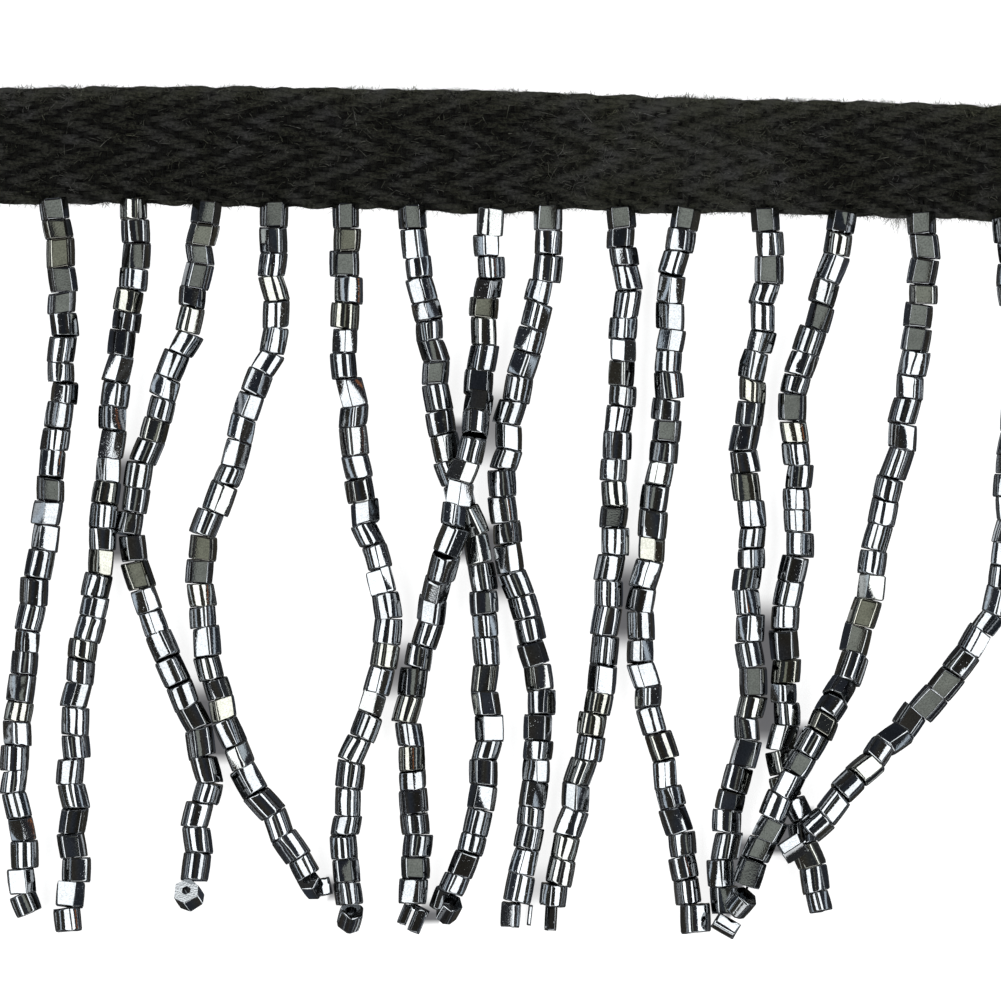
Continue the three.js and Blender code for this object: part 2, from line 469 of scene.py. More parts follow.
class Shade:
    """A node tree that is filled one node at a time."""

    def __init__(self, owner):
        owner.use_nodes = True
        self.tree = owner.node_tree
        self.tree.nodes.clear()

    def node(self, kind, settings=None, inputs=None):
        """A node of this kind, with its settings made first and then its sockets filled."""
        node = self.tree.nodes.new(kind)
        for key, value in (settings or {}).items():
            setattr(node, key, value)
        for key, value in (inputs or {}).items():
            socket = node.inputs[key]
            if isinstance(value, Wire):
                self.tree.links.new(value.socket, socket)
            else:
                socket.default_value = value
        return NodeUse(self, node)

    def mix(self, factor, first, second):
        """A colour between two others."""
        return self.node(
            "ShaderNodeMix", {"data_type": "RGBA"}, {0: factor, 6: as_colour(first), 7: as_colour(second)}
        ).out(2)

    def noise(self, place, scale, detail=2.0, roughness=0.5):
        """Even noise from 0 to 1 at a place."""
        inputs = {"Vector": place, "Scale": scale, "Detail": detail, "Roughness": roughness}
        return self.node("ShaderNodeTexNoise", {}, inputs).out("Fac")

    def stretched(self, place, factors):
        """A place with each axis multiplied, so that a pattern is drawn out along one of them."""
        return self.node("ShaderNodeMapping", {}, {"Vector": place, "Scale": factors}).out(0)

    def bump(self, height, strength, distance):
        """A normal that is tilted by a height."""
        inputs = {"Height": height, "Strength": strength, "Distance": distance}
        return self.node("ShaderNodeBump", {}, inputs).out(0)


def as_colour(value):
    """A colour or a wire in the form that a socket takes."""
    return value if isinstance(value, Wire) else (*tuple(value)[:3], 1.0)


def tinted(colour, factors):
    """A colour with each channel multiplied by its factor."""
    return tuple(c * factor for c, factor in zip(colour, factors))


def surface(name, paint):
    """A material whose principled shader gets the inputs that paint gives for it."""
    material = bpy.data.materials.new(name)
    shade = Shade(material)
    shader = shade.node("ShaderNodeBsdfPrincipled", {}, paint(shade))
    shade.node("ShaderNodeOutputMaterial", {}, {"Surface": shader.out(0)})
    return material


def cotton(name, colour, fibre_scale, low=0.6, high=0.96):
    """Dyed cotton: matte, uneven in tone and a little in hue, and paler where dust lies on it.

    Between the heights low and high, in millimetres, the colour goes from nearly black to its
    full tone: painted shade, darker towards the bottom of the weave and under the yarns. Dust
    lifts it there too, so that a worn place shows less of its weave.
    """

    def paint(shade):
        place = shade.node("ShaderNodeTexCoord").out("Object")
        level = shade.node("ShaderNodeSeparateXYZ", {}, {0: place}).out("Z")
        dust = shade.node("ShaderNodeAttribute", {"attribute_name": "dust"}).out("Fac")
        # Painted shade: the share of full tone that height leaves, lifted where dust lies
        stand = ((level - low * MM) / ((high - low) * MM) + dust * 0.7).held()
        fibres = shade.noise(shade.stretched(place, (0.75, 1.0, 1.0)), fibre_scale, 2.0, 0.8)
        patches = shade.noise(place, 420.0, 1.0)
        raised = (fibres * 2.1 + patches * 0.8 - 1.08 + dust * 0.2).held() * (stand * 0.9 + 0.1)
        tone = (raised + dust * 0.28).held()
        hue = (patches * 2.0 - 0.5).held()
        # The darker share is the painted shade at the bottom of the weave, and the paler one is the full
        # tone
        shade_share, palest = COTTON_SHADE_AND_TONE
        dark = tinted(colour, (shade_share,) * 3)
        olive, plain = (tinted(colour, [palest * c for c in tint]) for tint in (OLIVE_HUE, PLAIN_HUE))
        return {
            "Base Color": shade.mix(tone, dark, shade.mix(hue, olive, plain)),
            "Roughness": 0.95,
            "Specular IOR Level": 0.02,
            "Sheen Weight": 0.02,
            "Sheen Roughness": 0.6,
            "Normal": shade.bump(fibres, 1.0, 0.22 * MM),
        }

    return surface(name, paint)


def mirror_glass(settings):
    """Coated cut glass: a dark mirror, warmer on some beads, rippled on a few, with tiny pits.

    A fine grain takes the coating from the one end of the grain tones to the other.
    """

    def paint(shade):
        place = shade.node("ShaderNodeTexCoord").out("Object")
        tone = shade.node("ShaderNodeAttribute", {"attribute_name": "bead_tone"}).out("Fac")
        mottle = shade.noise(place, 7000.0, 1.0)
        cloud = shade.noise(place, 900.0, 0.0)
        pit = (mottle * 9.0 - 6.6).held()
        rippled = tone.within(*RIPPLED_BEADS, 0.005)
        height = mottle * 0.45 + cloud * 0.3 + cloud * rippled * 9.0 - pit * 6.0
        warm = ((tone - WARM_BEADS_FROM) / (1 - WARM_BEADS_FROM)).held()
        grain = (mottle * 2.2 + cloud * 0.6 + (tone * 37.0).sine() * 0.2 - 0.9).held()
        coatings = (settings.coating, settings.warm_coating)
        dull, bright = (shade.mix(warm, *(tinted(c, (k,) * 3) for c in coatings)) for k in GRAIN_TONES)
        return {
            "Base Color": shade.mix(grain, dull, bright),
            "Metallic": 1.0,
            "Roughness": (mottle * 0.08 + 0.02).held(),
            "Normal": shade.bump(height, 0.1, 0.05 * MM),
        }

    return surface("Mirror-coated cut glass", paint)


# Tape


def waves(rng, rows, along, pitch):
    """Rows of smooth unevenness from -1 to 1: three sines of unlike pitch and random phase."""
    phase = rng.uniform(0, 2 * pi, (3, rows, 1))
    pitches = pitch * np.array([1.0, 0.61, 0.37])[:, None, None]
    return np.sin(2 * pi * along[None] / pitches + phase).mean(axis=0)


def weave_frame(x, share):
    """Y across the tape: share 0 is just inside its lower edge and 1 just inside its upper one."""
    low = edge_height("bottom", x) + EDGE_INSET
    high = edge_height("top", x) - EDGE_INSET
    return low + (high - low) * share


def twill_steps():
    """Where each warp end's float starts, in weft picks, from the top end down.

    Each end steps one pick back in the first and third bands and one pick on in the second and
    fourth, which makes the herringbone. The two lowest ends are the selvedge.
    """
    bands = np.repeat([-1, 1, -1, 1], [7, 7, 7, 5])
    return np.concatenate([[0], np.cumsum(bands)])


def warp_rise(x, step):
    """-1 to 1: where an end lies over two picks and under the next two, with steep crossings."""
    phase = 2 * pi * (x - TWILL_START - step * WEFT_PITCH) / (TWILL_REPEAT * WEFT_PITCH)
    return np.tanh(1.8 * -np.cos(phase)) / np.tanh(1.8)


def settled_dust(x, share):
    """How much paler a yarn is: at the upper edge and the lower one, and in the worn stretch.

    The worn stretch is from about 5 to 24 mm right of the middle, and some of it stays beyond.
    """
    upper = 0.72 * smoothstep(share, 0.82, 1.0)
    lower = 0.26 * (1 - smoothstep(share, 0.0, 0.13))
    worn = 0.42 * (smoothstep(x, 2 * MM, 8 * MM) - 0.88 * smoothstep(x, 20 * MM, 27 * MM))
    return upper + lower + worn + 0.06 * smoothstep(x, -20 * MM, -15 * MM)


def warp_yarns(ends, rng, sides=8, rings=320):
    """Vertices, faces and dust of the yarns along the tape.

    A yarn's centre goes up and down by its rise. It is widest where it floats on top, and wanders
    a little sideways.
    """
    x = np.linspace(TAPE_LOW[0], TAPE_HIGH[0], rings)[None, :].repeat(len(ends), 0)
    share = 1 - ends[:, None] / (WARP_ENDS - 1)
    slip = waves(rng, len(ends), x, 6.5 * MM) * 0.32 * MM
    rise = warp_rise(x + slip, twill_steps()[ends][:, None])
    rise *= 1 + 0.16 * waves(rng, len(ends), x, 3.1 * MM)
    wander = waves(rng, len(ends), x, 9 * MM) * 0.05 * MM + slip * 0.25
    centres = np.stack([x, weave_frame(x, share) + wander, WEAVE_LEVEL + WARP_SWING * rise], axis=-1)
    swell = 1 + 0.12 * waves(rng, len(ends), x, 2.3 * MM) + rng.normal(0, 0.035, x.shape)
    half_width = WARP_HALF_WIDTH * (1 + 0.22 * rise) * swell
    half_height = WARP_HALF_HEIGHT * (1 - 0.1 * rise) * swell
    vertices = tube_vertices(centres, half_width, half_height, sides)
    return vertices, tube_faces(len(ends), rings, sides), np.repeat(settled_dust(x, share), sides)


def weft_yarns(rng, sides=6, rings=56):
    """Vertices, faces and dust of the yarns across the tape, each over two ends and under two."""
    picks = int(TAPE_LENGTH / WEFT_PITCH)
    first = TAPE_LOW[0] + (TAPE_LENGTH - (picks - 1) * WEFT_PITCH) / 2
    x = first + WEFT_PITCH * np.arange(picks)[:, None].repeat(rings, 1)
    share = np.linspace(0.012, 0.988, rings)[None, :].repeat(picks, 0)
    end = np.clip(np.rint((1 - share) * (WARP_ENDS - 1)).astype(int), 0, WARP_ENDS - 1)
    rise = -warp_rise(x, twill_steps()[end])
    padded = np.pad(rise, ((0, 0), (2, 2)), mode="edge")
    rise = sum(padded[:, shift : shift + rings] for shift in range(5)) / 5
    wander = waves(rng, picks, share, 0.31) * 0.07 * MM
    centres = np.stack([x + wander, weave_frame(x, share), WEFT_LEVEL + WEFT_SWING * rise], axis=-1)
    half_width = np.full(x.shape, WEFT_HALF_WIDTH)
    half_height = np.full(x.shape, WEFT_HALF_HEIGHT)
    vertices = tube_vertices(centres, half_width, half_height, sides)
    return vertices, tube_faces(picks, rings, sides), np.repeat(settled_dust(x, share), sides)


def make_ground(material, steps_along=160, steps_across=10):
    """The tape's closed body under its yarns: a thin flat sheet with the tape's outline."""
    columns = np.linspace(TAPE_LOW[0], TAPE_HIGH[0], steps_along + 1)
    x, share = np.meshgrid(columns, np.linspace(0, 1, steps_across + 1), indexing="ij")
    y = weave_frame(x, share)
    layers = [np.stack([x, y, np.full_like(x, level)], axis=-1).reshape(-1, 3) for level in GROUND_LEVELS]
    grid = np.arange(x.size).reshape(x.shape)
    quads = np.stack([grid[:-1, :-1], grid[1:, :-1], grid[1:, 1:], grid[:-1, 1:]], axis=-1).reshape(-1, 4)
    rim = np.concatenate([grid[:-1, 0], grid[-1, :-1], grid[:0:-1, -1], grid[0, :0:-1]])
    walls = np.stack([rim, np.roll(rim, -1), np.roll(rim, -1) + x.size, rim + x.size], axis=-1)
    faces = np.vstack([quads[:, ::-1], quads + x.size, walls])
    return new_mesh("tape_ground", np.vstack(layers), faces, material)


# Nap


def hairs(roots, headings, lengths, radius, rng, rings=3, bend=0.45, droop=0.35):
    """Vertices and faces of short curved hairs.

    Each is a three-sided tube that leaves its root along its heading, and bends aside and down by
    the square of the share of its length. radius is one number, or one for each hair.
    """
    share = np.linspace(0, 1, rings)[None, :, None]
    aside = rng.normal(0, bend, (len(roots), 1, 3)) - np.array([0, 0, droop])
    reach = lengths[:, None, None] * (headings[:, None, :] * share + aside * share**2 * 0.7)
    centres = roots[:, None, :] + reach
    centres[..., 2] = np.maximum(centres[..., 2], LOWEST_FIBRE)
    taper = np.reshape(radius, (-1, 1)) * (1 - 0.6 * np.linspace(0, 1, rings)) * np.ones((len(roots), 1))
    return tube_vertices(centres, taper, taper, 3, up=(0.31, 0.17, 0.94)), tube_faces(len(roots), rings, 3)


def gathered(rng, count, clumps, spread):
    """Places along the tape, a quarter of them anywhere and the others in clumps."""
    anywhere = rng.uniform(TAPE_LOW[0], TAPE_HIGH[0], count)
    clump = rng.choice(rng.uniform(TAPE_LOW[0], TAPE_HIGH[0], clumps), count) + rng.normal(0, spread, count)
    return np.where(rng.random(count) < 0.25, anywhere, np.clip(clump, TAPE_LOW[0], TAPE_HIGH[0]))


def make_nap(settings, material, rng):
    """Cotton fibres that lie along the yarns, stand out of the face and past the two edges.

    A draw below the first of the nap bounds puts one at the upper edge, and below the second at
    the lower one. The others are on the face, a third of those in the worn stretch, which they
    felt over.
    """
    count = settings.nap
    place = rng.random(count)
    upper = place < NAP_BOUNDS[0]
    lower = (place > NAP_BOUNDS[0]) & (place < NAP_BOUNDS[1])
    middle = ~(upper | lower)
    anywhere = rng.uniform(TAPE_LOW[0], TAPE_HIGH[0], count)
    felted = np.where(rng.random(count) < 0.35, rng.uniform(*WORN_STRETCH, count), anywhere)
    x = np.where(middle, felted, gathered(rng, count, 36, 0.6 * MM))
    stray = rng.uniform(-0.02, 0.02, count)
    inset = rng.choice([0, 1], count, p=[0.7, 0.3]) * rng.uniform(0, 0.1, count)
    share = np.where(upper, 1 + stray - inset, np.where(lower, -stray, rng.random(count)))
    outward = np.where(upper, 1.0, np.where(lower, -1.0, 0.0))
    level = np.where(middle, rng.uniform(0.2, 0.42, count), rng.uniform(-0.2, 0.3, count)) * MM
    roots = np.stack([x, weave_frame(x, share), WEAVE_LEVEL + level], axis=-1)
    sideways = rng.choice([-1, 1], count) * rng.uniform(0.2, 1.4, count)
    headings = np.stack(
        [sideways, outward * 0.75 + rng.normal(0, 0.6, count), rng.uniform(-0.1, 0.35, count)], axis=-1
    )
    lengths = np.where(middle, rng.uniform(0.2, 0.9, count), rng.uniform(0.15, 0.58, count)) * MM
    radius = np.where(middle, FIBRE_RADIUS, EDGE_FIBRE_RADIUS)
    vertices, faces = hairs(roots, unit(headings), lengths, radius, rng)
    pale = 0.9 * rng.random(count) ** 4 - 0.3 + 0.7 * upper - 0.1 * lower
    return new_mesh("tape_nap", vertices, faces, material, attributes={"dust": np.repeat(pale, 9)})


def make_lint(material, rng, count=34, tuft=60):
    """A few long pale fibres caught on the tape, and a tuft frayed out of its lower edge."""
    caught = rng.uniform(TAPE_LOW[0], TAPE_HIGH[0], count)
    x = np.concatenate([caught, rng.normal(FRAY_PLACE, 0.5 * MM, tuft)])
    share = np.concatenate([rng.uniform(0.1, 0.95, count), np.zeros(tuft)])
    roots = np.stack([x, weave_frame(x, share), np.full(count + tuft, 0.9 * MM)], axis=-1)
    headings = rng.normal(0, 1.0, (count + tuft, 3)) * (1, 1, 0.15)
    headings[count:] = headings[count:] * (0.5, 0.25, 0.6) - (0.3, 0.9, 0.1)
    lengths = np.concatenate([rng.uniform(0.7, 1.9, count), rng.uniform(0.7, 1.9, tuft)]) * MM
    vertices, faces = hairs(roots, unit(headings), lengths, LINT_RADIUS, rng, rings=5, bend=0.25, droop=0.1)
    return new_mesh("tape_lint", vertices, faces, material)


# Beads


class Beads(NamedTuple):
    """Beads as arrays with one row for each.

    They hold its place, axis, roll, length and radius, the crown of its flats, whether a broad
    flat faces up, its tone, and how far it leans sideways for each step along its axis.
    """

    place: np.ndarray
    axis: np.ndarray
    roll: np.ndarray
    length: np.ndarray
    radius: np.ndarray
    crown: np.ndarray
    flat_up: np.ndarray
    tone: np.ndarray
    skew: np.ndarray


def cut_section(angles, spans, radius):
    """Twelve points round each bead, counterclockwise, for a round rod with flats cut on it.

    A flat whose cut spans a half angle to each side meets the round surface at those two angles,
    and lies at the radius times the cosine of that half angle. Where two flats meet first, their
    corner takes the place of both ends, a hair apart. Given back beside the points is whether
    each flat meets the next one like that.
    """
    depths = radius * np.cos(spans)
    normal = np.stack([np.cos(angles), np.sin(angles)], axis=-1)
    following = np.roll(normal, -1, axis=1)
    begin, end = angles - spans, angles + spans
    next_begin = np.roll(begin, -1, axis=1)
    next_begin[:, -1] += 2 * pi
    cross = normal[..., 0] * following[..., 1] - normal[..., 1] * following[..., 0]
    next_depth = np.roll(depths, -1, axis=1)
    corner = np.stack(
        [
            (depths * following[..., 1] - next_depth * normal[..., 1]) / cross,
            (next_depth * normal[..., 0] - depths * following[..., 0]) / cross,
        ],
        axis=-1,
    )
    meets = (end > next_begin)[..., None]
    leave = np.stack([-normal[..., 1], normal[..., 0]], axis=-1) * CORNER_HAIR
    arrive = np.stack([-following[..., 1], following[..., 0]], axis=-1) * CORNER_HAIR
    round_end = radius[..., None] * np.stack([np.cos(end), np.sin(end)], axis=-1)
    round_next = radius[..., None] * np.stack([np.cos(next_begin), np.sin(next_begin)], axis=-1)
    leaving = np.where(meets, corner - leave, round_end)
    arriving = np.where(meets, corner + arrive, round_next)
    points = np.stack([np.roll(arriving, 1, axis=1), leaving], axis=2).reshape(len(angles), 2 * CUTS, 2)
    return points, meets[..., 0]


def bead_sections(beads, rng):
    """Three sections of each bead, the angles that their corner normals face, and its corners.

    The sections are at one end, at the middle and at the other end, and the flats differ a little
    from the one to the other. The heat of the finish has crowned each flat, so its normals lean
    out by a share of its half angle. The corners say whether a flat meets the next one throughout.
    """
    count = len(beads.roll)
    calm = beads.flat_up[:, None]
    even = beads.roll[:, None] + np.arange(CUTS)[None, :] * 2 * pi / CUTS
    angles = even + np.where(calm, 0.06, 1.0) * rng.normal(0, radians(CUT_STRAY), (count, CUTS))
    spans = rng.normal(radians(CUT_SPAN), radians(CUT_SPAN_SPREAD), (count, CUTS))
    spans = np.clip(spans, *(radians(limit) for limit in CUT_SPAN_LIMITS))
    crowns = np.clip(beads.crown[:, None] * rng.uniform(0.4, 1.5, (count, CUTS)), 0.03, 1.0)
    spans[:, 0] = np.where(beads.flat_up, radians(BROAD_SPAN), spans[:, 0])
    crowns[:, 0] = np.where(beads.flat_up, BROAD_CROWN, crowns[:, 0])
    radius = beads.radius[:, None] * np.ones((1, CUTS))
    twist = rng.normal(0, radians(CUT_TWIST), (count, CUTS))
    taper = rng.normal(0, 0.05, (count, CUTS))
    lean = spans * crowns
    sections, facings, corners = [], [], np.ones((count, CUTS), bool)
    for way, swell in ((-1, 1.0), (rng.normal(0, 0.4, (count, CUTS)), BEAD_BARREL), (1, 1.0)):
        section, meets = cut_section(angles + way * twist, spans * (1 + way * taper), swell * radius)
        sections.append(section)
        corners &= meets
        facing = angles + np.where(calm, 0.15, 1.0) * way * twist
        facings.append(np.stack([facing - lean, facing + lean], axis=2).reshape(count, 2 * CUTS))
    return sections, facings, corners


def bead_heights(rings, length, rng):
    """How far each point of the seven rings is along its bead, from the middle.

    The ends are cut a little out of square, their edges are chipped, and their rims are uneven.
    """
    count, sides = len(rings), rings.shape[2]
    half = length[:, None] / 2
    slope = np.tan(rng.normal(0, radians(END_SLOPE), (count, 2, 2)))
    near = (rings[:, 1] * slope[:, 0, None, :]).sum(axis=-1) - half
    far = (rings[:, 5] * slope[:, 1, None, :]).sum(axis=-1) + half
    chips = rng.normal(0, 0.02 * MM, (count, 2, sides))
    rim = BEAD_RIM * (1 + rng.uniform(-0.5, 0.9, (count, 2, sides)))
    middle = rng.uniform(-0.2, 0.2, (count, sides)) * half
    flat = np.ones((1, sides)) * half
    rows = [-flat, near + chips[:, 0], near + rim[:, 0], middle, far - rim[:, 1], far + chips[:, 1], flat]
    return np.stack(rows, axis=1)


def bead_solids(beads, rng):
    """Vertices, faces and corner normals of faceted beads, all in one mesh.

    A bead is seven rings of twelve points: its hole, its end and its shoulder at one end, its
    middle, and the same back at the other end. The normals of the stretch between two flats run
    on from the one to the other. Where two flats meet, the hair between them leans along the bead
    instead and shows as a dark line.
    """
    count, sides = len(beads.roll), 2 * CUTS
    (near, middle, far), facings, corners = bead_sections(beads, rng)
    hole = unit(near) * np.minimum(BEAD_HOLE, 0.45 * beads.radius[:, None, None])
    rings = np.stack([hole, near * BEAD_RIM_SCALE, near, middle, far, far * BEAD_RIM_SCALE, hole], axis=1)
    height = bead_heights(rings, beads.length, rng)

    side = unit(np.cross(beads.axis, (0, 0, 1)) + np.array([1e-9, 0, 0]))
    rise = np.cross(side, beads.axis)

    def world(plan, along):
        """Places or directions given across a bead and along its axis, turned into the trim's frame."""
        return (
            plan[..., 0:1] * side[:, None, None, :]
            + plan[..., 1:2] * rise[:, None, None, :]
            + along[..., None] * beads.axis[:, None, None, :]
        )

    skew = beads.skew[:, None, None]
    rel = world(rings + np.stack([skew * height, 0 * height], axis=-1), height)
    place = beads.place.copy()
    place[:, 2] -= rel[..., 2].min(axis=(1, 2))
    vertices = (rel + place[:, None, None, :]).reshape(-1, 3)

    layers = rings.shape[1]
    ring, column = np.meshgrid(np.arange(layers), np.arange(sides), indexing="ij")
    onward, after = (ring + 1) % layers, (column + 1) % sides
    corner_places = ((ring, column), (onward, column), (onward, after), (ring, after))
    quads = np.stack([row * sides + place_in_row for row, place_in_row in corner_places], axis=-1)
    faces = (quads[None] + (np.arange(count) * layers * sides)[:, None, None, None]).reshape(-1, 4)

    tilt = np.radians([90.0, RIM_TILT, 0.0, 0.0, 0.0, RIM_TILT, 90.0])
    facing = np.stack([facings[0]] * 3 + [facings[1]] + [facings[2]] * 3, axis=1)
    sign = np.array([-1, -1, -1, 1, 1, 1, 1])[None, :, None]
    plan = np.stack([np.cos(facing), np.sin(facing)], axis=-1) * np.cos(tilt)[None, :, None, None]
    shading = unit(world(plan, sign * np.sin(tilt)[None, :, None] - skew * plan[..., 0])).reshape(-1, 3)
    normals = shading[faces].reshape(count, layers, sides, 4, 3)
    hairs_between = np.zeros((count, layers, sides), bool)
    hairs_between[:, 1 : layers - 2, 1::2] = corners[:, None, :]
    lean = radians(CORNER_LEAN)
    leant = cos(lean) * normals - sin(lean) * beads.axis[:, None, None, None, :]
    normals = np.where(hairs_between[..., None, None], leant, normals)
    for ring, way in ((0, -1), (layers - 2, 1)):
        normals[:, ring] = way * beads.axis[:, None, None, :]
    inward = -world(unit(hole)[:, None], np.zeros((count, 1, sides)))[:, 0]
    normals[:, -1] = np.stack([inward, inward, np.roll(inward, -1, 1), np.roll(inward, -1, 1)], axis=2)
    return vertices, faces, normals.reshape(-1, 3), np.repeat(beads.tone, layers * sides)


def strayed(rng, spread, count):
    """Normal draws with this spread, kept within twice of it."""
    return np.clip(rng.normal(0, spread, count), -2 * spread, 2 * spread)


def string_lengths(total, length, rng):
    """Lengths of the beads that fill a string: uneven, and scaled so that they fit it exactly."""
    count = int(round(total / (length + BEAD_GAP)))
    shortest, longest = (share * length for share in LENGTH_LIMITS)
    lengths = np.clip(rng.normal(length, BEAD_LENGTH_SPREAD, count), shortest, longest)
    return lengths * (total - BEAD_GAP * count) / lengths.sum()


def string_rolls(count, flat_up, rng):
    """How far each bead is rolled: mostly near its neighbour above, now and then anew.

    A roll of a quarter turn faces the first flat straight up, and a bead lying on a broad flat
    has one upwards too. A roll of nothing turns a corner up, as many beads lie.
    """
    rolls = np.empty(count)
    rolls[0] = rng.uniform(0, pi / 3)
    fresh = rng.random(count) < FRESH_ROLLS
    corner_up = rng.random(count) < CORNER_UP_ROLLS
    anew = np.where(corner_up, rng.normal(0, radians(ROLL_DRIFT), count), rng.uniform(0, pi / 3, count))
    drift = rng.normal(0, radians(ROLL_DRIFT), count)
    for bead in range(1, count):
        rolls[bead] = anew[bead] if fresh[bead] else rolls[bead - 1] + drift[bead]
    return np.where(flat_up, pi / 2 + np.clip(drift * 0.1, -0.01, 0.01), rolls)


def aim(turns, rises):
    """Unit vectors swung by turns from straight down the trim, and tipped into the floor by rises."""
    level = np.stack([np.sin(turns), -np.cos(turns), np.zeros_like(turns)], axis=-1)
    return level * np.cos(rises)[..., None] - np.array([0, 0, 1]) * np.sin(rises)[..., None]


def lay_string(string, settings, rng):
    """The beads of one string, threaded along its path.

    Its joints stray a little to each side, so that every bead leans from one joint to the next
    while its ends stay square to the path.
    """
    path = string_path(string)
    lengths = string_lengths(path.length - string.spare * MM, settings.length, rng)
    count = len(lengths)
    middles = np.cumsum(lengths + BEAD_GAP) - lengths / 2 - BEAD_GAP / 2
    place = path.at(middles)
    axis = path.along(middles)
    across = unit(np.cross(axis, (0, 0, 1)))
    joints = strayed(rng, JOINT_STRAY, count + 1)
    joints[:2] = 0
    shift = (joints[1:] + joints[:-1]) / 2 + strayed(rng, BEAD_STRAY, count)
    shift[0] = 0
    skew = np.diff(joints) / lengths
    place += across * shift[:, None]
    yaw_limit = radians(BEAD_YAW_LIMIT)
    yaw = np.clip(rng.normal(0, radians(BEAD_YAW), count), -yaw_limit, yaw_limit)
    pitch = rng.normal(0, radians(BEAD_PITCH), count)
    radius = settings.radius * rng.normal(1.0, RADIUS_SPREAD, count)
    crown = np.clip(rng.normal(CROWN_MEAN, CROWN_SPREAD, count), 0.05, 1.0)
    tone = rng.random(count)
    drop = (EDGE_LINE - place[:, 1]) / MM
    calm = np.any([(drop > start) & (drop < stop) for start, stop in string.calm] or [drop < 0], axis=0)
    flat_up = calm | (rng.random(count) < FLAT_UP_BEADS)
    tone = np.where(flat_up, 0.4 + 0.6 * tone, tone)
    pitch *= np.where(flat_up, 0.3, 1.0)
    level = unit(axis * np.cos(yaw)[:, None] + across * np.sin(yaw)[:, None])
    axis = unit(level * np.cos(pitch)[:, None] - np.array([0, 0, 1]) * np.sin(pitch)[:, None])
    rolls = string_rolls(count, flat_up, rng)
    return Beads(place, axis, rolls, lengths, radius, crown, flat_up, tone, skew)


def lay_stops(string, rng):
    """The stop beads of one string, each at its own place on the floor or on the string below."""
    stops = np.array(string.stops, float)
    count = len(stops)
    side, drop, turn, rise, length, width, roll = stops.T
    place = np.stack([side * MM, EDGE_LINE - drop * MM, string_lift(string, drop * MM)], axis=-1)
    axis = aim(np.radians(turn), np.radians(rise))
    crown = rng.uniform(0.2, 0.6, count)
    roll = np.where(np.isnan(roll), rng.uniform(0, pi / 3, count), pi / 2 + np.radians(roll))
    flat_up = ~np.isnan(stops[:, -1])
    tone = rng.uniform(0, 0.75, count)
    return Beads(place, axis, roll, length * MM, width * MM / 2, crown, flat_up, tone, np.zeros(count))


def make_string(index, string, settings, material):
    """One string of beads with its stop beads as one piece, from a seed of its own."""
    rng = np.random.default_rng(400 + index)
    lots = [bead_solids(lay_string(string, settings, rng), rng)]
    if string.stops:
        lots.append(bead_solids(lay_stops(string, rng), rng))
    vertices, faces, normals, tone = (np.concatenate(part) for part in zip(*lots))
    faces[len(lots[0][1]) :] += len(lots[0][0])
    return new_mesh(f"bead_string_{index + 1:02d}", vertices, faces, material, normals, {"bead_tone": tone})


def make_threads(settings, material, rings=130, sides=6):
    """The threads through the beads: fine round tubes at the height of the holes."""
    centres = []
    in_bead = settings.radius - THREAD_SAG
    for string in STRINGS:
        path = string_path(string)
        places = path.at(np.linspace(-1.1 * MM, path.length - (0.8 + 0.5 * string.spare) * MM, rings))
        past_tape = smoothstep(np.arange(rings), 0, 4)
        places[:, 2] += THREAD_ROOT_LEVEL + (in_bead - THREAD_ROOT_LEVEL) * past_tape
        centres.append(places)
    centres = np.array(centres)
    radius = np.full(centres.shape[:2], settings.thread)
    vertices = tube_vertices(centres, radius, radius, sides)
    return new_mesh("bead_threads", vertices, tube_faces(len(STRINGS), rings, sides), material)


# Stage


def open_sky(x, y, bead_radius):
    """The share of the sky that reaches the floor, from the width of the gap between two strings.

    Halfway between two walls a gap g apart and h high, it is g / 2 over the square root of the
    sum of the squares of g / 2 and h. The gap is the sum of the distances to the two nearest
    strings, one on each side. Each place then takes the mean of itself and its two neighbours,
    once across the strings and twice along them.
    """
    sides = []
    for string in STRINGS:
        line = string_path(string).points
        inside = (y <= line[0, 1] + 2 * MM) & (y >= line[-1, 1] - 1 * MM)
        sides.append(np.where(inside, np.interp(-y, -line[:, 1], line[:, 0]) - x, np.inf))
    sides = np.array(sides)
    right = np.where(sides > 0, sides, np.inf).min(axis=0)
    left = np.where(sides <= 0, -sides, np.inf).min(axis=0)
    half = np.minimum(np.maximum(right + left - 2 * bead_radius, 0) / 2, 1.0)
    share = half / np.hypot(half, 2 * bead_radius)
    for across, along in ((1, 0), (0, 1), (0, 1)):
        padded = np.pad(share, ((across, across), (along, along)), mode="edge")
        wide, high = share.shape
        share = (padded[:wide, :high] + share + padded[2 * across :, 2 * along :]) / 3
    return share


